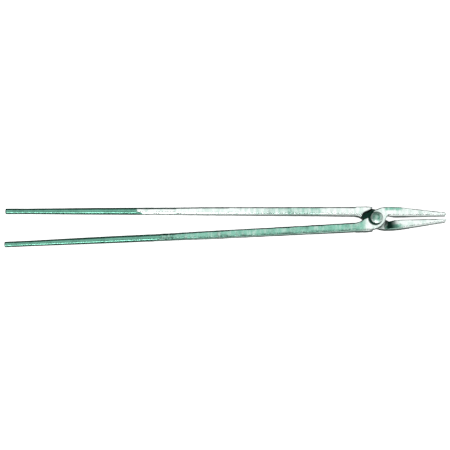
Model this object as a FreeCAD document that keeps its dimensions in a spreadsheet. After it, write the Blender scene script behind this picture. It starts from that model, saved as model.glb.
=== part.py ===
import FreeCAD, Part
import math
import os

import Sketcher
from FreeCAD import Placement, Rotation, Vector

# Flat-jaw riveted tongs. Millimetres, +X towards the jaws, +Z out of the front face.
# The origin is on the pivot axis, in the flat back of the rivet's closing head.
# Both halves are one forging, drawn here about its lap plane and then turned over for the back.

DIMENSIONS = [
    ("lap_height", 12.0, "height of the lap plane over the rivet's flat back"),
    ("half_depth", 8.0, "half the depth of the forging at the joint"),
    ("lap_air", 0.05, "air between each boss and the lap plane"),
    ("boss_clear", 14.2, "hollow in the other half that clears the boss"),
    ("rivet_radius", 5.0, "rivet shank"),
    ("running_clear", 0.05, "radial running clearance in the back half"),
    ("dome_radius", 8.4, "domed rivet head, foot radius"),
    ("dome_height", 5.4, "domed rivet head, height"),
    ("dome_foot", 1.2, "upright foot of the domed head"),
    ("closing_radius", 8.0, "closing head, hammered flat"),
    ("closing_air", 0.1, "air between closing head and back boss"),
    ("closing_edge", 1.2, "chamfer of the closing head"),
    ("jaw_reach", 95.0, "pivot axis to jaw tips"),
    ("jaw_root_gap", 3.7, "grip face to centreline at the root"),
    ("jaw_tip_gap", 2.8, "grip face to centreline at the tip"),
    ("jaw_tip_depth", 6.0, "half the depth of the jaw at its tip"),
    ("jaw_tip_face", 1.6, "width of the blunt tip"),
    ("jaw_tip_corner", 0.3, "broken inner corner of the tip"),
    ("taper_start", 30.0, "the jaw's depth starts to taper here"),
    ("ramp_start", 10.8, "jaw ramp leaves the lap plane here"),
    ("ramp_end", 29.0, "jaw ramp reaches full depth here"),
    ("grip_start", 24.0, "grip face starts here"),
    ("shank_start", 24.0, "pivot axis to the first shank section"),
    ("shank_offset", 11.0, "shank centreline to tongs centreline at the first section"),
    ("rein_angle", 1.5, "each shank's angle to the centreline"),
    ("bar_angle", 1.34, "each rein bar's angle to the centreline"),
    ("rein_bow", 0.6, "outward bow where shank and bar meet"),
    ("scarf_near", 290.0, "pivot axis to the near end of the scarf"),
    ("scarf_far", 328.0, "pivot axis to the far end of the scarf"),
    ("bar_radius", 5.1, "rein bar at the scarf"),
    ("bar_full", 45.0, "the rein bar keeps its full size this far"),
    ("waist_radius", 4.8, "rein bar, drawn down"),
    ("bar_waist", 105.0, "the rein bar is drawn down this far along"),
    ("grip_radius", 4.0, "rein bar at its end"),
    ("grip_length", 30.0, "straight cylinder at the rein's end"),
    ("rein_reach", 505.0, "pivot axis to the rein's end"),
    ("end_edge", 0.8, "rounded edge of the rein's end"),
    ("cut_over", 2.0, "cuts run past the metal by this"),
]

# shank sections: distance behind the first section, outward bow, half width, half depth, corner
SHANK = [
    ("joint", 0.0, 0.0, 5.5, 8.0, 1.5),
    ("neck", 22.0, 0.1, 5.5, 7.9, 1.6),
    ("near", 74.0, 0.3, 5.45, 6.9, 1.7),
    ("middle", 142.0, 0.5, 5.4, 6.3, 1.8),
    ("far", 210.0, 0.6, 5.4, 5.7, 2.1),
    ("scarf", 252.0, 0.6, 5.2, 5.2, 2.8),
    ("tongue", 310.0, 0.6, 5.0, 5.1, 2.9),
]

# outline of joint and jaw, seen from the front: (x, y)
JOINT_OUTLINE = [
    (-28.0, -5.6),
    (-22.8, -4.6),
    (-17.4, -0.8),
    (-11.6, 1.2),
    (-9.0, 4.6),
    (-6.6, 8.2),
    (-3.0, 11.2),
    (1.2, 12.5),
    (5.5, 14.2),
    (10.5, 15.0),
    (21.0, 15.2),
    (32.0, 14.5),
    (87.0, 7.0),
    (92.6, 6.5),
    (94.4, 5.5),
]
THROAT_OUTLINE = [
    (16.5, 4.3),
    (13.8, 1.2),
    (12.0, -3.6),
    (9.5, -8.0),
    (6.0, -11.6),
    (1.5, -14.2),
    (-4.0, -15.6),
    (-12.0, -16.5),
    (-28.0, -16.8),
]

# hollow behind the lap plane on the shank side, where the other boss turns: (x, y)
SHOULDER = [
    (-30.0, 6.0),
    (-20.4, -2.4),
    (-18.6, -6.6),
    (-14.4, -9.2),
    (-10.0, -11.0),
    (-5.6, -12.3),
    (-3.0, -20.0),
    (20.0, -20.0),
    (20.0, 0.0),
    (9.0, 0.0),
    (9.0, 6.0),
]

# the jaw's ramp up from the lap plane: share of its run, share of the half depth
RAMP = [(0.0, -0.00625), (0.3, 0.45), (0.5, 0.7), (0.75, 0.9), (1.0, 1.0)]


def make_sheet(doc):
    sheet = doc.addObject("Spreadsheet::Sheet", "Dims")
    row = 1
    rows = list(DIMENSIONS)
    for label, back, bow, width, depth, corner in SHANK:
        rows.append((label + "_back", back, "shank section, distance behind the first"))
        rows.append((label + "_bow", bow, "shank section, outward bow"))
        rows.append((label + "_width", width, "shank section, half width"))
        rows.append((label + "_depth", depth, "shank section, half depth"))
        rows.append((label + "_corner", corner, "shank section, chamfer"))
    for name, value, note in rows:
        sheet.set("A%d" % row, name)
        sheet.set("B%d" % row, repr(value))
        sheet.set("C%d" % row, note)
        sheet.setAlias("B%d" % row, name)
        row += 1
    return sheet


def origin_plane(body, role):
    for feature in body.Origin.OriginFeatures:
        if feature.Role == role:
            return feature
    raise ValueError(role)


def new_sketch(body, name, role):
    sketch = body.newObject("Sketcher::SketchObject", name)
    sketch.AttachmentSupport = [(origin_plane(body, role), "")]
    sketch.MapMode = "FlatFace"
    return sketch


def arc_about_axis(start, end):
    """Arc from start to end, anticlockwise, its centre on the sketch's vertical axis."""
    rise = end.y - start.y
    run = start.x**2 - end.x**2
    centre = Vector(0, (start.y + end.y) / 2 - run / (2 * rise), 0)
    first = math.atan2(start.y - centre.y, start.x)
    last = math.atan2(end.y - centre.y, end.x)
    circle = Part.Circle(centre, Vector(0, 0, 1), (start - centre).Length)
    return Part.ArcOfCircle(circle, first, last)


def draw_outline(sketch, points, arc=None):
    """Closed outline; a coordinate is a number, or an expression and its value.

    arc is the index of a side that is an arc about the vertical axis.
    """
    values = []
    for point in points:
        values.append([c[1] if isinstance(c, tuple) else c for c in point])
    count = len(values)
    for i in range(count):
        start = Vector(values[i][0], values[i][1], 0)
        end = Vector(values[(i + 1) % count][0], values[(i + 1) % count][1], 0)
        side = arc_about_axis(start, end) if i == arc else Part.LineSegment(start, end)
        sketch.addGeometry(side, False)
    if arc is not None:
        sketch.addConstraint(Sketcher.Constraint("PointOnObject", arc, 3, -2))
    for i in range(count):
        sketch.addConstraint(Sketcher.Constraint("Coincident", i, 2, (i + 1) % count, 1))
    for i, point in enumerate(points):
        for kind, coordinate, value in zip(("DistanceX", "DistanceY"), point, values[i]):
            index = sketch.addConstraint(Sketcher.Constraint(kind, -1, 1, i, 1, value))
            if isinstance(coordinate, tuple):
                sketch.setExpression("Constraints[%d]" % index, coordinate[0])


def draw_circle(sketch, radius, expression):
    sketch.addGeometry(Part.Circle(Vector(0, 0, 0), Vector(0, 0, 1), radius), False)
    sketch.addConstraint(Sketcher.Constraint("Coincident", 0, 3, -1, 1))
    index = sketch.addConstraint(Sketcher.Constraint("Radius", 0, radius))
    sketch.setExpression("Constraints[%d]" % index, expression)


def add_feature(body, kind, name, sketch, reverse, **lengths):
    feature = body.newObject("PartDesign::" + kind, name)
    feature.Profile = sketch
    feature.Reversed = reverse
    for key, expression in lengths.items():
        feature.setExpression(key, expression)
    return feature


def checked_cut(doc, feature, before):
    """A pocket has to take something away; its direction is turned over when it doesn't."""
    doc.recompute()
    if before - feature.Shape.Volume < 1e-3:
        feature.Reversed = not feature.Reversed
        doc.recompute()
    if before - feature.Shape.Volume < 1e-3:
        raise ValueError(feature.Name + " removes nothing")


def value_of(sheet, name):
    return float(getattr(sheet, name))


def section_points(label, sheet):
    offset = value_of(sheet, "shank_offset")
    back, bow, width, depth, corner = [
        value_of(sheet, label + part) for part in ("_back", "_bow", "_width", "_depth", "_corner")
    ]
    slope = math.tan(math.radians(value_of(sheet, "rein_angle")))
    centre = -(offset + bow + back * slope)
    centre_text = (
        "-(Dims.shank_offset + Dims.%s_bow + Dims.%s_back * tan(Dims.rein_angle * 1deg))"
        % (label, label)
    )
    wide = "Dims.%s_width" % label
    deep = "Dims.%s_depth" % label
    cut = "Dims.%s_corner" % label
    corners = [
        (-1, -1, 1, 0),
        (1, -1, -1, 0),
        (1, -1, 0, 1),
        (1, 1, 0, -1),
        (1, 1, -1, 0),
        (-1, 1, 1, 0),
        (-1, 1, 0, -1),
        (-1, -1, 0, 1),
    ]
    points = []
    for side, level, along, up in corners:
        y_value = centre + side * width + along * corner
        z_value = level * depth + up * corner
        y_text = "%s + (%d) * %s + (%d) * %s" % (centre_text, side, wide, along, cut)
        z_text = "(%d) * %s + (%d) * %s" % (level, deep, up, cut)
        points.append(((y_text, y_value), (z_text, z_value)))
    return points


def add_shank(doc, body, sheet):
    sketches = []
    for label, back, _, _, _, _ in SHANK:
        sketch = new_sketch(body, "Shank_" + label, "YZ_Plane")
        start = value_of(sheet, "shank_start")
        sketch.AttachmentOffset = Placement(Vector(0, 0, -start - back), Rotation())
        sketch.setExpression(
            "AttachmentOffset.Base.z", "-(Dims.shank_start + Dims.%s_back)" % label
        )
        draw_outline(sketch, section_points(label, sheet))
        sketches.append(sketch)
    doc.recompute()
    loft = body.newObject("PartDesign::AdditiveLoft", "Shank")
    loft.Profile = sketches[0]
    loft.Sections = sketches[1:]
    loft.Ruled = True
    doc.recompute()


def cut_scarf(doc, body, sheet, keep_shank):
    """Slanted weld plane: the bar's tongue lies over the shank's."""
    before = body.Tip.Shape.Volume
    near = value_of(sheet, "scarf_near")
    far = value_of(sheet, "scarf_far")
    rise = value_of(sheet, "bar_radius")
    run = far - near
    reach = 0.5
    top = (
        ("-(Dims.scarf_near - %g * (Dims.scarf_far - Dims.scarf_near))" % reach, -(near - reach * run)),
        ("Dims.bar_radius * %g" % (1 + 2 * reach), rise * (1 + 2 * reach)),
    )
    bottom = (
        ("-(Dims.scarf_far + %g * (Dims.scarf_far - Dims.scarf_near))" % reach, -(far + reach * run)),
        ("-Dims.bar_radius * %g" % (1 + 2 * reach), -rise * (1 + 2 * reach)),
    )
    if keep_shank:
        corner = (bottom[0], top[1])
    else:
        corner = (top[0], bottom[1])
    sketch = new_sketch(body, "Scarf", "XZ_Plane")
    draw_outline(sketch, [top, bottom, corner])
    pocket = add_feature(body, "Pocket", "Scarf_cut", sketch, False)
    pocket.Type = "ThroughAll"
    pocket.Midplane = True
    checked_cut(doc, pocket, before)


def make_forging(doc, sheet, name, turned, hole_text, hole_value):
    body = doc.addObject("PartDesign::Body", name)
    body.Label = name

    reach = value_of(sheet, "jaw_reach")
    tip_gap = value_of(sheet, "jaw_tip_gap")
    root_gap = value_of(sheet, "jaw_root_gap")
    grip = value_of(sheet, "grip_start")
    plan = new_sketch(body, "Plan", "XY_Plane")
    face = value_of(sheet, "jaw_tip_face")
    corner = value_of(sheet, "jaw_tip_corner")
    tip_end = ("Dims.jaw_reach", reach)
    tip = [
        (tip_end, ("Dims.jaw_tip_gap + Dims.jaw_tip_face", tip_gap + face)),
        (tip_end, ("Dims.jaw_tip_gap + Dims.jaw_tip_corner", tip_gap + corner)),
        (("Dims.jaw_reach - Dims.jaw_tip_corner", reach - corner), ("Dims.jaw_tip_gap", tip_gap)),
        (("Dims.grip_start", grip), ("Dims.jaw_root_gap", root_gap)),
    ]
    draw_outline(plan, JOINT_OUTLINE + tip + THROAT_OUTLINE)
    doc.recompute()
    slab = add_feature(body, "Pad", "Joint_slab", plan, False, Length="2 * Dims.half_depth")
    slab.Midplane = True
    doc.recompute()

    before = body.Tip.Shape.Volume
    hollow = new_sketch(body, "Boss_hollow", "XY_Plane")
    draw_circle(hollow, value_of(sheet, "boss_clear"), "Dims.boss_clear")
    hollow.setExpression("AttachmentOffset.Base.z", "Dims.lap_air")
    past = "Dims.half_depth + Dims.cut_over"
    pocket = add_feature(body, "Pocket", "Hollow_cut", hollow, False, Length=past)
    checked_cut(doc, pocket, before)

    before = body.Tip.Shape.Volume
    shoulder = new_sketch(body, "Shoulder", "XY_Plane")
    draw_outline(shoulder, SHOULDER)
    shoulder.setExpression("AttachmentOffset.Base.z", "Dims.lap_air")
    pocket = add_feature(body, "Pocket", "Shoulder_cut", shoulder, False, Length=past)
    checked_cut(doc, pocket, before)

    before = body.Tip.Shape.Volume
    half = value_of(sheet, "half_depth")
    ramp = new_sketch(body, "Ramp", "XZ_Plane")
    first = value_of(sheet, "ramp_start")
    run = value_of(sheet, "ramp_end") - first
    slope = [
        (
            ("Dims.ramp_start + %g * (Dims.ramp_end - Dims.ramp_start)" % along, first + along * run),
            ("-%g * Dims.half_depth" % down, -down * half),
        )
        for along, down in RAMP
    ]
    over = value_of(sheet, "cut_over")
    below = ("-Dims.half_depth - Dims.cut_over", -half - over)
    ledge = (0.0, slope[0][1])
    draw_outline(ramp, [ledge] + slope + [(slope[-1][0], below), (0.0, below)])
    pocket = add_feature(body, "Pocket", "Ramp_cut", ramp, False)
    pocket.Type = "ThroughAll"
    pocket.Midplane = True
    checked_cut(doc, pocket, before)

    far = ("Dims.jaw_reach + Dims.cut_over", reach + over)
    near = ("Dims.taper_start", value_of(sheet, "taper_start"))
    tip_depth = value_of(sheet, "jaw_tip_depth")
    for side, word in ((1, "front"), (-1, "back")):
        before = body.Tip.Shape.Volume
        taper = new_sketch(body, "Taper_" + word, "XZ_Plane")
        face_start = ("%d * Dims.half_depth" % side, side * half)
        face_end = ("%d * Dims.jaw_tip_depth" % side, side * tip_depth)
        outside = ("%d * (Dims.half_depth + Dims.cut_over)" % side, side * (half + over))
        draw_outline(taper, [(near, face_start), (far, face_end), (far, outside), (near, outside)])
        pocket = add_feature(body, "Pocket", "Taper_cut_" + word, taper, False)
        pocket.Type = "ThroughAll"
        pocket.Midplane = True
        checked_cut(doc, pocket, before)

    add_shank(doc, body, sheet)
    cut_scarf(doc, body, sheet, True)

    before = body.Tip.Shape.Volume
    hole = new_sketch(body, "Rivet_hole", "XY_Plane")
    draw_circle(hole, hole_value, hole_text)
    pocket = add_feature(body, "Pocket", "Hole_cut", hole, False)
    pocket.Type = "ThroughAll"
    pocket.Midplane = True
    checked_cut(doc, pocket, before)

    lap = value_of(sheet, "lap_height")
    turn = Rotation(Vector(1, 0, 0), 180) if turned else Rotation()
    body.Placement = Placement(Vector(0, 0, lap), turn)
    body.setExpression("Placement.Base.z", "Dims.lap_height")
    return body


def make_bar(doc, sheet, name, turned):
    body = doc.addObject("PartDesign::Body", name)
    body.Label = name
    start = value_of(sheet, "shank_start")
    near = value_of(sheet, "scarf_near")
    offset = value_of(sheet, "shank_offset")
    reach = value_of(sheet, "rein_reach")
    bar = value_of(sheet, "bar_radius")
    grip = value_of(sheet, "grip_radius")
    edge = value_of(sheet, "end_edge")
    straight = value_of(sheet, "grip_length")
    angle = value_of(sheet, "bar_angle")

    profile = new_sketch(body, "Profile", "XY_Plane")
    slope = math.tan(math.radians(value_of(sheet, "rein_angle")))
    across = offset + value_of(sheet, "rein_bow") + (near - start) * slope
    profile.AttachmentOffset = Placement(Vector(-near, -across, 0), Rotation(Vector(0, 0, 1), angle))
    profile.setExpression("AttachmentOffset.Base.x", "-Dims.scarf_near")
    profile.setExpression(
        "AttachmentOffset.Base.y",
        "-(Dims.shank_offset + Dims.rein_bow"
        " + (Dims.scarf_near - Dims.shank_start) * tan(Dims.rein_angle * 1deg))",
    )
    profile.setExpression("AttachmentOffset.Rotation.Angle", "Dims.bar_angle * 1deg")
    last = ("-(Dims.rein_reach - Dims.scarf_near)", -(reach - near))
    inner = ("-(Dims.rein_reach - Dims.scarf_near - Dims.end_edge)", -(reach - near - edge))
    taper = ("-(Dims.rein_reach - Dims.scarf_near - Dims.grip_length)", -(reach - near - straight))
    full = ("-Dims.bar_full", -value_of(sheet, "bar_full"))
    waist = ("-Dims.bar_waist", -value_of(sheet, "bar_waist"))
    axis = 0.0
    draw_outline(
        profile,
        [
            (0.0, axis),
            (0.0, ("Dims.bar_radius", bar)),
            (full, ("Dims.bar_radius", bar)),
            (waist, ("Dims.waist_radius", value_of(sheet, "waist_radius"))),
            (taper, ("Dims.grip_radius", grip)),
            (inner, ("Dims.grip_radius", grip)),
            (last, ("Dims.grip_radius - Dims.end_edge", grip - edge)),
            (last, axis),
        ],
    )
    doc.recompute()
    revolution = body.newObject("PartDesign::Revolution", "Bar")
    revolution.Profile = profile
    revolution.ReferenceAxis = (profile, ["H_Axis"])
    revolution.Angle = 360
    doc.recompute()
    cut_scarf(doc, body, sheet, False)

    lap = value_of(sheet, "lap_height")
    turn = Rotation(Vector(1, 0, 0), 180) if turned else Rotation()
    body.Placement = Placement(Vector(0, 0, lap), turn)
    body.setExpression("Placement.Base.z", "Dims.lap_height")
    return body


def make_rivet(doc, sheet, name):
    body = doc.addObject("PartDesign::Body", name)
    body.Label = name
    lap = value_of(sheet, "lap_height")
    half = value_of(sheet, "half_depth")
    shank = value_of(sheet, "rivet_radius")
    closing = value_of(sheet, "closing_radius")
    edge = value_of(sheet, "closing_edge")
    air = value_of(sheet, "closing_air")
    dome = value_of(sheet, "dome_radius")
    foot = value_of(sheet, "dome_foot")
    height = value_of(sheet, "dome_height")
    under = lap - half - air
    face = lap + half

    profile = new_sketch(body, "Profile", "XZ_Plane")
    closing_top = ("Dims.lap_height - Dims.half_depth - Dims.closing_air", under)
    dome_foot = ("Dims.lap_height + Dims.half_depth", face)
    dome_top = ("Dims.lap_height + Dims.half_depth + Dims.dome_foot", face + foot)
    crown = ("Dims.lap_height + Dims.half_depth + Dims.dome_height", face + height)
    outline = [
        (0.0, 0.0),
        (("Dims.closing_radius - Dims.closing_edge", closing - edge), 0.0),
        (("Dims.closing_radius", closing), ("Dims.closing_edge", edge)),
        (("Dims.closing_radius", closing), closing_top),
        (("Dims.rivet_radius", shank), closing_top),
        (("Dims.rivet_radius", shank), dome_foot),
        (("Dims.dome_radius", dome), dome_foot),
        (("Dims.dome_radius", dome), dome_top),
        (0.0, crown),
    ]
    draw_outline(profile, outline, arc=outline.index((("Dims.dome_radius", dome), dome_top)))
    doc.recompute()
    revolution = body.newObject("PartDesign::Revolution", "Turned")
    revolution.Profile = profile
    revolution.ReferenceAxis = (profile, ["V_Axis"])
    revolution.Angle = 360
    doc.recompute()
    return body


def check_and_export(doc, bodies):
    doc.recompute()
    for item in doc.Objects:
        if "Invalid" in item.State or "Error" in item.State:
            raise ValueError(item.Name + " failed to build")
    for body in bodies:
        shape = body.Shape
        if shape.isNull() or not shape.isValid() or len(shape.Solids) != 1:
            raise ValueError(body.Label + " has no valid single solid")
    os.makedirs("parts", exist_ok=True)
    for body in bodies:
        body.Shape.exportStep("parts/%s.step" % body.Label)
        box = body.Shape.BoundBox
        print(
            "%-20s x %.2f %.2f  y %.2f %.2f  z %.2f %.2f  volume %.0f"
            % (
                body.Label,
                box.XMin,
                box.XMax,
                box.YMin,
                box.YMax,
                box.ZMin,
                box.ZMax,
                body.Shape.Volume,
            )
        )


def main():
    doc = FreeCAD.newDocument("FlatJawTongs")
    sheet = make_sheet(doc)
    doc.recompute()
    press = value_of(sheet, "rivet_radius")
    running = press + value_of(sheet, "running_clear")
    bodies = [
        make_forging(doc, sheet, "front_jaw_forging", False, "Dims.rivet_radius", press),
        make_forging(
            doc, sheet, "back_jaw_forging", True, "Dims.rivet_radius + Dims.running_clear", running
        ),
        make_bar(doc, sheet, "front_rein_bar", False),
        make_bar(doc, sheet, "back_rein_bar", True),
        make_rivet(doc, sheet, "pivot_rivet"),
    ]
    check_and_export(doc, bodies)


main()
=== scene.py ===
import math
import random

import bpy
import numpy as np
from mathutils import Matrix, Vector


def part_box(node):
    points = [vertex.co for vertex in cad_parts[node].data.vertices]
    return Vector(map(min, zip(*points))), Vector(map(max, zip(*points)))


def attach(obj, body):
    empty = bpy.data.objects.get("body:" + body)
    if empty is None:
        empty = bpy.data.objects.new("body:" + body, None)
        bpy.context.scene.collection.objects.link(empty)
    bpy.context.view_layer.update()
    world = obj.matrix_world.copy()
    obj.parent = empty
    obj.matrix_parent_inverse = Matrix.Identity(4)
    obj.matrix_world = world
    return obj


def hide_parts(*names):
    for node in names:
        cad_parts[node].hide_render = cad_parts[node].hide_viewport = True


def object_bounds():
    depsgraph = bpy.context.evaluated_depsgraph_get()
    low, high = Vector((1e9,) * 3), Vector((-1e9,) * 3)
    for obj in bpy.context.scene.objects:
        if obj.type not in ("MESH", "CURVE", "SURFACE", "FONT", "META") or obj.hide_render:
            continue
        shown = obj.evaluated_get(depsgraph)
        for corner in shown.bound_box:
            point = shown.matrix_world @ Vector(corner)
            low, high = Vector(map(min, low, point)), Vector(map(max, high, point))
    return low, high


# Looks of a pair of hand-forged tongs: every piece is its CAD solid, remeshed, softened and
# hammered in mesh code, with a procedural steel material. Metres throughout.

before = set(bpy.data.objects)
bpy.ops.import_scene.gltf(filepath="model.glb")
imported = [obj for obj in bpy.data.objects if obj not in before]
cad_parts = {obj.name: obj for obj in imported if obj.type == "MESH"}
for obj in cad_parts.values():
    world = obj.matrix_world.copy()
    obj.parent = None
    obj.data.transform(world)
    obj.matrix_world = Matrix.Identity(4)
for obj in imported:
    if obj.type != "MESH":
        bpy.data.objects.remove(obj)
cad_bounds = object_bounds()

MM = 0.001
LAP = 12 * MM
HALF_DEPTH = 8 * MM
BOSS_CLEAR = 14.2 * MM
UP, DOWN = (0, 0, 1), (0, 0, -1)
LEFT, RIGHT = (0, 1, 0), (0, -1, 0)

# what is worn off when each mesh is softened: voxel, smoothing rounds, skin taken off
FORGING_MESH = (0.75 * MM, 6, 0.08 * MM)
BAR_MESH = (0.6 * MM, 3, 0.04 * MM)
RIVET_MESH = (0.32 * MM, 4, 0.0)
SHARP_BEND = 0.05 * MM
RIVET_BEND = 0.03 * MM

# camera: the pivot's place in the picture, from its centre, and the direction looked from
LENS = 100.0
SENSOR = 36.0
VIEW_WIDTH = 0.612
ELEVATION = math.radians(73)
ROLL = math.radians(1.34)
PIVOT_RIGHT = 0.2056
PIVOT_UP = 0.0078
WORLD_LIGHT = 0.95
HORIZON = (0.09, 0.12, 0.11, 1)


# ---------------------------------------------------------------- mesh work


def read_points(mesh):
    points = np.zeros(len(mesh.vertices) * 3)
    mesh.vertices.foreach_get("co", points)
    return points.reshape(-1, 3)


def read_normals(mesh):
    normals = np.zeros(len(mesh.vertices) * 3)
    mesh.vertex_normals.foreach_get("vector", normals)
    return normals.reshape(-1, 3)


def write_points(mesh, points):
    mesh.vertices.foreach_set("co", points.ravel())
    mesh.update()


def remeshed(node, name, voxel, rounds, skin):
    """A new object in the CAD node's shape, with an even mesh, softened edges and a skin off."""
    obj = bpy.data.objects.new(name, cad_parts[node].data.copy())
    bpy.context.scene.collection.objects.link(obj)
    obj.data.materials.clear()
    remesh = obj.modifiers.new("Remesh", "REMESH")
    remesh.mode = "VOXEL"
    remesh.voxel_size = voxel
    soften = obj.modifiers.new("Soften", "SMOOTH")
    soften.factor = 0.5
    soften.iterations = rounds
    graph = bpy.context.evaluated_depsgraph_get()
    mesh = bpy.data.meshes.new_from_object(obj.evaluated_get(graph))
    obj.modifiers.clear()
    obj.data = mesh
    if skin:
        write_points(mesh, read_points(mesh) - read_normals(mesh) * skin)
    return obj


def ramp(values, low, high):
    t = np.clip((values - low) / (high - low), 0, 1)
    return t * t * (3 - 2 * t)


def hammer(mesh, rng, side, across, span, row, size, depth, keep=None, pitch=0.55):
    """Overlapping shallow blows on the faces towards one side, as a hammer leaves them.

    side and across are directions, span the run along X, row the blows' reach across, size the
    least and largest blow, depth its deepest point.
    """
    points = read_points(mesh)
    facing = ramp(read_normals(mesh) @ np.array(side, float), 0.45, 0.85)
    along = points[:, 0]
    over = points @ np.array(across, float)
    dent = np.zeros(len(points))
    x = span[0]
    while x < span[1]:
        long = rng.uniform(*size)
        wide = rng.uniform(*size) * 1.15
        centre = rng.uniform(*row)
        deep = depth * rng.uniform(0.5, 1.0)
        twist = rng.uniform(-0.35, 0.35)
        u = (along - x) + twist * (over - centre)
        v = over - centre
        near = np.abs(u) < long
        bowl = deep * (1 - (u[near] / long) ** 2 - (v[near] / wide) ** 2)
        dent[near] = np.maximum(dent[near], bowl)
        x += long * pitch * rng.uniform(0.8, 1.2)
    if keep is not None:
        dent *= keep(points)
    write_points(mesh, points - np.outer(dent * facing, side))


def ripple(mesh, rng, amount, wavelengths):
    """Slow unevenness along a drawn bar: it shrinks and swells a little."""
    points = read_points(mesh)
    normals = read_normals(mesh)
    wave = np.zeros(len(points))
    for length in wavelengths:
        phase = rng.uniform(0, 2 * math.pi)
        turn = rng.uniform(0, 2 * math.pi)
        lean = np.cos(np.arctan2(normals[:, 2], normals[:, 1]) - turn)
        wave += np.sin(points[:, 0] * 2 * math.pi / length + phase) * (0.6 + 0.4 * lean)
    wave = (wave / len(wavelengths) - 1) * 0.5 * amount
    write_points(mesh, points + normals * wave[:, None])


def store(mesh, name, values):
    layer = mesh.attributes.new(name, "FLOAT", "POINT")
    layer.data.foreach_set("value", np.clip(values, 0, 1).astype(np.float32))


def store_edges(mesh, scale, near_edge_highlight):
    """Painted shade in two attributes: a dark outline where a point stands out of its neighbours, darker
    on the far side towards +Y, and shade in creases where it lies below them.

    scale is the bend that counts as sharp. The last argument, one number or one for each point, is how
    far a painted highlight lifts the dark outline off the upper edges towards -Y.
    """
    points = read_points(mesh)
    normals = read_normals(mesh)
    pairs = np.zeros(len(mesh.edges) * 2, np.int64)
    mesh.edges.foreach_get("vertices", pairs)
    a, b = pairs.reshape(-1, 2).T
    links = np.bincount(a, minlength=len(points)) + np.bincount(b, minlength=len(points))
    bend = np.zeros(len(points))
    for axis in range(3):
        total = np.bincount(a, points[b, axis], len(points))
        total += np.bincount(b, points[a, axis], len(points))
        bend += (points[:, axis] - total / links) * normals[:, axis]
    for _ in range(3):
        total = np.bincount(a, bend[b], len(points)) + np.bincount(b, bend[a], len(points))
        bend = 0.4 * bend + 0.6 * total / links
    # painted shade: dark outline on standing edges, stronger on the +Y far side; a painted highlight
    # takes it off the near upper edges towards -Y
    painted_near_highlight = near_edge_highlight * ramp(normals[:, 2], 0.15, 0.45) * ramp(-normals[:, 1], 0.1, 0.35)
    far_side = ramp(normals[:, 1], 0.05, 0.25)
    store(mesh, "painted_edge_shade", (bend / scale * (1 + 2 * far_side) - 0.5 + 0.2 * far_side) * (1 - painted_near_highlight))
    # painted shade in creases, where a point lies below its neighbours
    store(mesh, "painted_crease_shade", -bend / scale - 0.3)


def shade_smooth(mesh):
    mesh.polygons.foreach_set("use_smooth", [True] * len(mesh.polygons))
    mesh.update()


# ---------------------------------------------------------------- materials


class Graph:
    """A short way to write shader nodes."""

    def __init__(self, material):
        material.use_nodes = True
        self.tree = material.node_tree
        self.tree.nodes.clear()

    def put(self, socket, value):
        if isinstance(value, bpy.types.NodeSocket):
            self.tree.links.new(value, socket)
        else:
            socket.default_value = value

    def node(self, kind, inputs=None, **settings):
        node = self.tree.nodes.new(kind)
        for key, value in settings.items():
            setattr(node, key, value)
        for key, value in (inputs or {}).items():
            self.put(node.inputs[key], value)
        return node

    def math(self, operation, a, b=0.0, clamp=False):
        inputs = {0: a, 1: b}
        return self.node("ShaderNodeMath", inputs, operation=operation, use_clamp=clamp).outputs[0]

    def scaled(self, value, factor):
        return self.math("MULTIPLY", value, factor)

    def placed(self, vector, **settings):
        inputs = {"Vector": vector, **settings}
        return self.node("ShaderNodeMapping", inputs).outputs[0]

    def attribute(self, name):
        return self.node("ShaderNodeAttribute", attribute_name=name).outputs["Fac"]

    def mapped(self, value, low, high, to_low=0.0, to_high=1.0):
        inputs = {"Value": value, "From Min": low, "From Max": high, "To Min": to_low, "To Max": to_high}
        return self.node("ShaderNodeMapRange", inputs).outputs["Result"]

    def mix(self, factor, a, b):
        node = self.node("ShaderNodeMix", data_type="RGBA")
        for index, value in ((0, factor), (6, a), (7, b)):
            self.put(node.inputs[index], value)
        return node.outputs[2]

    def noise(self, vector, scale, detail, roughness):
        inputs = {"Vector": vector, "Scale": scale, "Detail": detail, "Roughness": roughness}
        return self.node("ShaderNodeTexNoise", inputs).outputs["Fac"]

    def surface(self, **settings):
        """Principled shader on the material's surface; names with _ for each space."""
        inputs = {key.replace("_", " "): value for key, value in settings.items()}
        shader = self.node("ShaderNodeBsdfPrincipled", inputs)
        out = self.node("ShaderNodeOutputMaterial")
        self.tree.links.new(shader.outputs["BSDF"], out.inputs["Surface"])


def scale_and_painted_shade(graph, patches, mottle, amount):
    """Dark cover: fire scale in patches, with painted shade in creases, along edges and in recesses,
    less where highlight is painted.
    """
    painted_highlight = graph.attribute("painted_highlight")
    painted_crease_shade = graph.attribute("painted_crease_shade")
    scale_and_shade = graph.math("MULTIPLY", graph.mapped(patches, 0.44, 0.62), graph.mapped(mottle, 0.35, 0.6))
    scale_and_shade = graph.scaled(scale_and_shade, amount)
    scale_and_shade = graph.math("SUBTRACT", scale_and_shade, graph.scaled(painted_highlight, 0.35))
    # painted shade: creases, dark edge outlines and recesses
    scale_and_shade = graph.math("ADD", scale_and_shade, graph.scaled(painted_crease_shade, 0.45), clamp=True)
    scale_and_shade = graph.math("ADD", scale_and_shade, graph.attribute("painted_edge_shade"))
    return graph.math("ADD", scale_and_shade, graph.attribute("painted_shade"), clamp=True)


def bare_metal(graph, mottle, moved, tint, bright):
    """Metal from tint to bright as the painted highlight attribute says, in cross bands, with flecks."""
    banded = graph.placed(moved, Scale=(1.6, 0.5, 0.5))
    bands = graph.mapped(graph.noise(banded, 130.0, 4.0, 0.6), 0.38, 0.64, -0.3, 0.22)
    highlight_and_bands = graph.math("ADD", graph.attribute("painted_highlight"), bands, clamp=True)
    metal = graph.mix(highlight_and_bands, (*tint, 1), (*bright, 1))
    flecks = graph.mapped(mottle, 0.56, 0.7, 0.0, 0.35)
    return graph.mix(flecks, metal, (*bright, 1))


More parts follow.
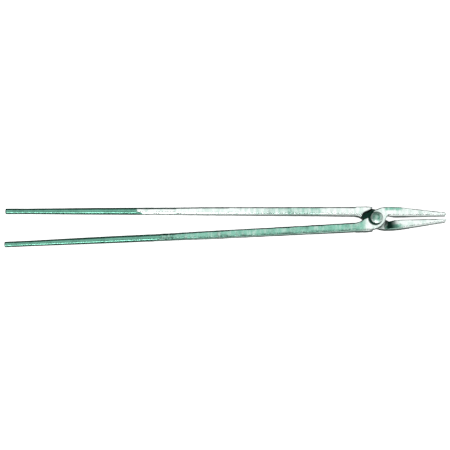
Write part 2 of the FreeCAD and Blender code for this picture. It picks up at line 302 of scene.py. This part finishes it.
def tool_marks(graph, mottle, moved, streak):
    """Bump of drawn streaks, grain, mottle and pits."""
    drawn = graph.placed(moved, Scale=(0.12, 1.0, 1.0))
    streaks = graph.noise(drawn, 1900.0, 3.0, 0.5)
    grain = graph.noise(moved, 5200.0, 3.0, 0.6)
    cells = graph.node("ShaderNodeTexVoronoi", {"Vector": moved, "Scale": 340.0}, feature="F1")
    height = graph.scaled(streaks, 0.5 * streak)
    height = graph.math("ADD", height, graph.scaled(grain, 0.25))
    height = graph.math("ADD", height, graph.scaled(mottle, 1.2))
    height = graph.math("ADD", height, graph.mapped(cells.outputs["Distance"], 0.0, 0.25, -0.7, 0.0))
    inputs = {"Height": height, "Strength": 0.35, "Distance": 0.12 * MM}
    return graph.node("ShaderNodeBump", inputs).outputs["Normal"]


def steel(name, tint, bright, rough, offset, streak=1.0, scale_amount=0.5):
    """Hand-forged steel: bare metal with painted highlights under dark fire scale and painted shade,
    with fine file and hammer marks.
    """
    material = bpy.data.materials.new(name)
    graph = Graph(material)
    place = graph.node("ShaderNodeTexCoord").outputs["Object"]
    moved = graph.placed(place, Location=(offset, offset * 0.7, offset * 0.3))
    patches = graph.noise(moved, 75.0, 5.0, 0.6)
    mottle = graph.noise(moved, 420.0, 6.0, 0.62)
    scale_and_shade = scale_and_painted_shade(graph, patches, mottle, scale_amount)
    metal = bare_metal(graph, mottle, moved, tint, bright)
    roughness = graph.mapped(mottle, 0.3, 0.7, rough - 0.06, rough + 0.1)
    roughness = graph.math("ADD", roughness, graph.scaled(scale_and_shade, 0.22))
    graph.surface(
        Base_Color=graph.mix(scale_and_shade, metal, (*SCALE_AND_SHADE, 1)),
        Metallic=1.0,
        Roughness=roughness,
        Normal=tool_marks(graph, mottle, moved, streak),
    )
    return material


TEAL = (0.24, 0.54, 0.42)
TEAL_DEEP = (0.16, 0.41, 0.31)
# near-white metal, the colour of painted highlights and flecks
BRIGHT = (0.92, 0.99, 0.96)
# dark of fire scale, also the colour of painted shade
SCALE_AND_SHADE = (0.012, 0.05, 0.035)

BAR_LOOK = {"streak": 1.6, "scale_amount": 0.35}
MATERIALS = {
    "front_forging": steel("front_forging_steel", TEAL, BRIGHT, 0.24, 0.0),
    "back_forging": steel("back_forging_steel", TEAL, BRIGHT, 0.25, 3.1),
    "front_bar": steel("front_bar_steel", TEAL_DEEP, TEAL, 0.22, 5.7, **BAR_LOOK),
    "back_bar": steel("back_bar_steel", TEAL_DEEP, TEAL, 0.22, 8.2, **BAR_LOOK),
    "rivet": steel("rivet_steel", TEAL, BRIGHT, 0.5, 11.9, scale_amount=0.6),
}


def finish_piece(obj, node, body, slot, crest_scale, near_edge_highlight=0.75):
    mesh = obj.data
    store_edges(mesh, crest_scale, near_edge_highlight)
    shade_smooth(mesh)
    mesh.materials.append(MATERIALS[slot])
    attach(obj, body)
    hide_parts(node)


# ---------------------------------------------------------------- forged halves


SHANK_RUN = (-330 * MM, -22 * MM)
JAW_RUN = (14 * MM, 95 * MM)
BOSS_RUN = (-14 * MM, 14 * MM)
SIDE_ROW = (LAP - 4 * MM, LAP + 4 * MM)


def clear_of_rivet(points):
    return ramp(np.hypot(points[:, 0], points[:, 1]), 9.0 * MM, 12.5 * MM)


def hammer_forging(mesh, rng, front):
    """Blows on every face but the jaw's grip face."""

    def off_grip(points):
        """0 on the jaw's grip face, 1 elsewhere."""
        x, y = points[:, 0], points[:, 1] * front
        return 1 - ramp(x, 20 * MM, 24 * MM) * (1 - ramp(y, 4.6 * MM, 5.4 * MM))

    shank_row = sorted((-front * 19 * MM, -front * 11 * MM))
    jaw_row = sorted((front * 4 * MM, front * 12 * MM))
    deep, shallow = 0.30 * MM, 0.22 * MM
    for side in (UP, DOWN):
        hammer(mesh, rng, side, LEFT, SHANK_RUN, shank_row, (6 * MM, 10 * MM), deep)
        hammer(mesh, rng, side, LEFT, JAW_RUN, jaw_row, (8 * MM, 13 * MM), deep)
        size = (6 * MM, 9 * MM)
        hammer(mesh, rng, side, LEFT, BOSS_RUN, BOSS_RUN, size, shallow, clear_of_rivet, 0.4)
    for side in (LEFT, RIGHT):
        hammer(mesh, rng, side, UP, SHANK_RUN, SIDE_ROW, (8 * MM, 13 * MM), 0.34 * MM)
    outer = LEFT if front > 0 else RIGHT
    hammer(mesh, rng, outer, UP, JAW_RUN, SIDE_ROW, (9 * MM, 14 * MM), deep, off_grip)
    ripple(mesh, rng, 0.12 * MM, (41 * MM, 23 * MM, 11 * MM))


def painted_highlight_zones(x, y, front):
    """Painted highlight: boss, jaw and the back half's shank, none at the jaw's root on its outer side.
    """
    if front > 0:
        bright = 0.1 + 1.1 * ramp(x, -26 * MM, -6 * MM)
    else:
        bright = 0.95 - 0.5 * ramp(x, -190 * MM, -110 * MM) + 0.6 * ramp(x, -85 * MM, -55 * MM)
    bright += 0.4 * ramp(x, 34 * MM, 52 * MM)
    root = ramp(x, 10 * MM, 14 * MM) * (1 - ramp(x, 26 * MM, 44 * MM))
    return np.minimum(bright, 1) - 1.1 * root * ramp(y * front, 8 * MM, 12 * MM)


def painted_shade_places(x, y, z, normals, front):
    """Painted shade: lap faces, walls round the boss, the jaw's ramp, the lower half of the
    sides, a painted shadow round the rivet's foot, and the front shank's near upper edge."""
    upright = normals[:, 2]
    lean = -upright * front
    at_lap = 1 - ramp(np.abs(z - LAP), 0.4 * MM, 1.2 * MM)
    lap_side = ramp(lean, 0.5, 0.9) * at_lap
    lap_side *= 0.4 + 0.6 * (1 - ramp(x, -4 * MM, 2 * MM))
    wall = 1 - ramp(np.hypot(x, y), BOSS_CLEAR + 2 * MM, BOSS_CLEAR + 6 * MM)
    wall *= 0.8 * (1 - ramp(np.abs(upright), 0.5, 0.8))
    slope = ramp(x, 11 * MM, 16 * MM) * (1 - ramp(x, 18 * MM, 32 * MM))
    slope *= ramp(lean, 0.2, 0.5)
    # painted shade on the lower half of the sides, a dark lower outline
    low_side = ramp(np.abs(normals[:, 1]), 0.5, 0.8) * ramp(LAP - z, -1.2 * MM, 0.6 * MM)
    low_side *= 1 - 0.3 * ramp(x, 34 * MM, 60 * MM)
    # painted shadow crescent on the boss face round the rivet, offset to the left
    painted_rivet_shadow = 1 - ramp(np.hypot(x + 2.2 * MM, y + 1.2 * MM), 9.0 * MM, 10.4 * MM)
    painted_rivet_shadow *= ramp(z, LAP + 5 * MM, LAP + 7 * MM)
    places = [lap_side, wall, slope, low_side, painted_rivet_shadow]
    if front > 0:
        # painted shade damping the highlight on the front shank's near upper edge
        near_edge = ramp(-normals[:, 1], 0.3, 0.55) * ramp(upright, 0.3, 0.55)
        places.append(0.5 * near_edge * (1 - ramp(x, -40 * MM, -24 * MM)))
    return np.max(places, axis=0)


def add_forging(node, name, body, slot, front, seed):
    """One half. front is 1 where its boss lies in front of the lap plane, and -1 behind it."""
    obj = remeshed(node, name, *FORGING_MESH)
    mesh = obj.data
    hammer_forging(mesh, random.Random(seed), front)
    normals = read_normals(mesh)
    x, y, z = read_points(mesh).T
    # painted highlight zones and painted shade, by place
    store(mesh, "painted_highlight", painted_highlight_zones(x, y, front))
    store(mesh, "painted_shade", painted_shade_places(x, y, z, normals, front))
    # painted highlight lifting the dark edge outline: on the front half mostly from the boss on, on the
    # back half all along
    near_edge_highlight = 0.1 + 0.82 * ramp(x, -20 * MM, 0) if front > 0 else 0.9
    finish_piece(obj, node, body, slot, SHARP_BEND, near_edge_highlight)


add_forging("front_jaw_forging", "front_forging", "front_half", "front_forging", 1, 11)
add_forging("back_jaw_forging", "back_forging", "back_half", "back_forging", -1, 23)


# ---------------------------------------------------------------- round rein bars


def add_bar(node, name, body, slot, seed):
    """One round rein: long shallow blows all round, none on its straight end."""
    obj = remeshed(node, name, *BAR_MESH)
    mesh = obj.data
    rng = random.Random(seed)
    low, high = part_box(node)
    middle = (low.y + high.y) / 2
    run = (low.x + 34 * MM, high.x)
    for sides, across, centre in (((UP, DOWN), LEFT, middle), ((LEFT, RIGHT), UP, LAP)):
        row = (centre - 2 * MM, centre + 2 * MM)
        for side in sides:
            hammer(mesh, rng, side, across, run, row, (14 * MM, 26 * MM), 0.10 * MM)
    ripple(mesh, rng, 0.10 * MM, (67 * MM, 41 * MM, 29 * MM))
    points = read_points(mesh)
    store(mesh, "painted_highlight", np.full(len(points), 0.15))
    # painted shade on the bar's lower half, a dark lower outline
    store(mesh, "painted_shade", 0.85 * ramp(LAP - points[:, 2], -1.5 * MM, -0.2 * MM))
    finish_piece(obj, node, body, slot, SHARP_BEND)


add_bar("front_rein_bar", "front_rein", "front_half", "front_bar", 31)
add_bar("back_rein_bar", "back_rein", "back_half", "back_bar", 47)


# ---------------------------------------------------------------- rivet


def dress_dome(points, on_dome, rng):
    """Take small hammer flats off the dome, each square to its own direction."""
    for _ in range(11):
        turn = rng.uniform(0, 2 * math.pi)
        lean = rng.uniform(0.2, 1.0)
        flat = (math.cos(turn) * math.sin(lean), math.sin(turn) * math.sin(lean), math.cos(lean))
        side = np.array(Vector(flat))
        reach = (points @ side)[on_dome > 0.5].max()
        over = np.maximum(points @ side - (reach - rng.uniform(0.18, 0.34) * MM), 0)
        points -= np.outer(over * on_dome, side) * 0.85


def add_rivet():
    """Domed head with hammer flats and a crescent dent, and the closing head behind."""
    node = "pivot_rivet"
    obj = remeshed(node, "rivet", *RIVET_MESH)
    mesh = obj.data
    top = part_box(node)[1].z
    face = LAP + HALF_DEPTH
    points = read_points(mesh)
    normals = read_normals(mesh)
    x, y, z = points.T
    moved = points.copy()
    dress_dome(moved, ramp(z, face + 0.6 * MM, face + 1.6 * MM), random.Random(5))
    crescent = np.abs(np.hypot(x - 0.4 * MM, y) - 3.2 * MM) / (0.8 * MM)
    crescent = np.clip(1 - crescent**2, 0, 1) * ramp(x, -1.5 * MM, 1.5 * MM)
    moved[:, 2] -= crescent * 0.32 * MM * ramp(z, top - 2.2 * MM, top - 1.0 * MM)
    write_points(mesh, moved)
    # painted highlight on the rim, teal on the crown
    store(mesh, "painted_highlight", 0.95 - 0.75 * ramp(normals[:, 2], 0.7, 0.95))
    # painted shadow at the rivet's foot on the side towards the reins
    foot = 1 - ramp(z, face + 0.1 * MM, face + 1.1 * MM)
    toward_reins = 1 - ramp(x * 0.8 + y * 0.6, -2 * MM, 3 * MM)
    # painted shade in the crescent dent
    dent_shade = crescent * 0.35 * ramp(z, face + 3 * MM, face + 4 * MM)
    store(mesh, "painted_shade", foot * toward_reins + dent_shade)
    finish_piece(obj, node, "front_half", "rivet", RIVET_BEND)


add_rivet()


# ---------------------------------------------------------------- stage, light and camera


def add_floor():
    size = 6.0
    mesh = bpy.data.meshes.new("floor")
    corners = [(-size, -size, 0), (size, -size, 0), (size, size, 0), (-size, size, 0)]
    mesh.from_pydata(corners, [], [(0, 1, 2, 3)])
    floor = bpy.data.objects.new("floor", mesh)
    bpy.context.scene.collection.objects.link(floor)
    floor.location.z = cad_bounds[0][2] - 0.0002
    floor.visible_glossy = False
    material = bpy.data.materials.new("floor_white")
    Graph(material).surface(
        Base_Color=(0.6, 0.6, 0.6, 1),
        Roughness=0.9,
        Emission_Color=(1, 1, 1, 1),
        Emission_Strength=0.95,
    )
    mesh.materials.append(material)


def add_world():
    """Studio seen in the metal: white overhead and straight below, dark round the horizon, so
    that faces read bright and rounded edges dark."""
    world = bpy.data.worlds.new("studio")
    bpy.context.scene.world = world
    graph = Graph(world)
    direction = graph.node("ShaderNodeTexCoord").outputs["Generated"]
    up = graph.node("ShaderNodeSeparateXYZ", {"Vector": direction}).outputs["Z"]
    overhead = graph.mapped(up, 0.55, 0.96)
    beneath = graph.mapped(up, -0.80, -0.93)
    level = graph.math("ADD", overhead, beneath, clamp=True)
    colour = graph.mix(level, HORIZON, (1.0, 1.0, 1.0, 1))
    background = graph.node("ShaderNodeBackground", {"Color": colour, "Strength": WORLD_LIGHT})
    out = graph.node("ShaderNodeOutputWorld")
    graph.tree.links.new(background.outputs[0], out.inputs["Surface"])


def add_area(name, place, target, width, height, power):
    data = bpy.data.lights.new(name, "AREA")
    data.shape = "RECTANGLE"
    data.size = width
    data.size_y = height
    data.energy = power
    light = bpy.data.objects.new(name, data)
    light.location = place
    light.rotation_euler = (Vector(target) - Vector(place)).to_track_quat("-Z", "Y").to_euler()
    bpy.context.scene.collection.objects.link(light)


def add_camera():
    data = bpy.data.cameras.new("camera")
    data.lens = LENS
    data.sensor_width = SENSOR
    data.clip_end = 50
    camera = bpy.data.objects.new("camera", data)
    bpy.context.scene.collection.objects.link(camera)
    back = Vector((0, -math.cos(ELEVATION), math.sin(ELEVATION)))
    level = Vector((1, 0, 0))
    upright = back.cross(level)
    right = level * math.cos(ROLL) - upright * math.sin(ROLL)
    up = level * math.sin(ROLL) + upright * math.cos(ROLL)
    pivot = Vector((0, 0, LAP))
    aim = pivot - right * PIVOT_RIGHT - up * PIVOT_UP
    distance = VIEW_WIDTH * LENS / SENSOR
    place = aim + back * distance
    turn = Matrix((right, up, back)).transposed()
    camera.matrix_world = Matrix.Translation(place) @ turn.to_4x4()
    bpy.context.scene.camera = camera


add_floor()
add_world()
middle = (-0.2, 0.0, 0.0)
add_area("overhead", (-0.1, 0.45, 1.5), middle, 2.2, 0.9, 1.5)
add_area("low_front", (-0.2, -1.5, 0.72), middle, 2.4, 0.3, 19)
add_area("jaw_side", (1.5, 0.1, 0.8), (0.05, 0.0, 0.0), 0.7, 0.5, 5)
add_camera()
bpy.context.scene.view_settings.view_transform = "Standard"
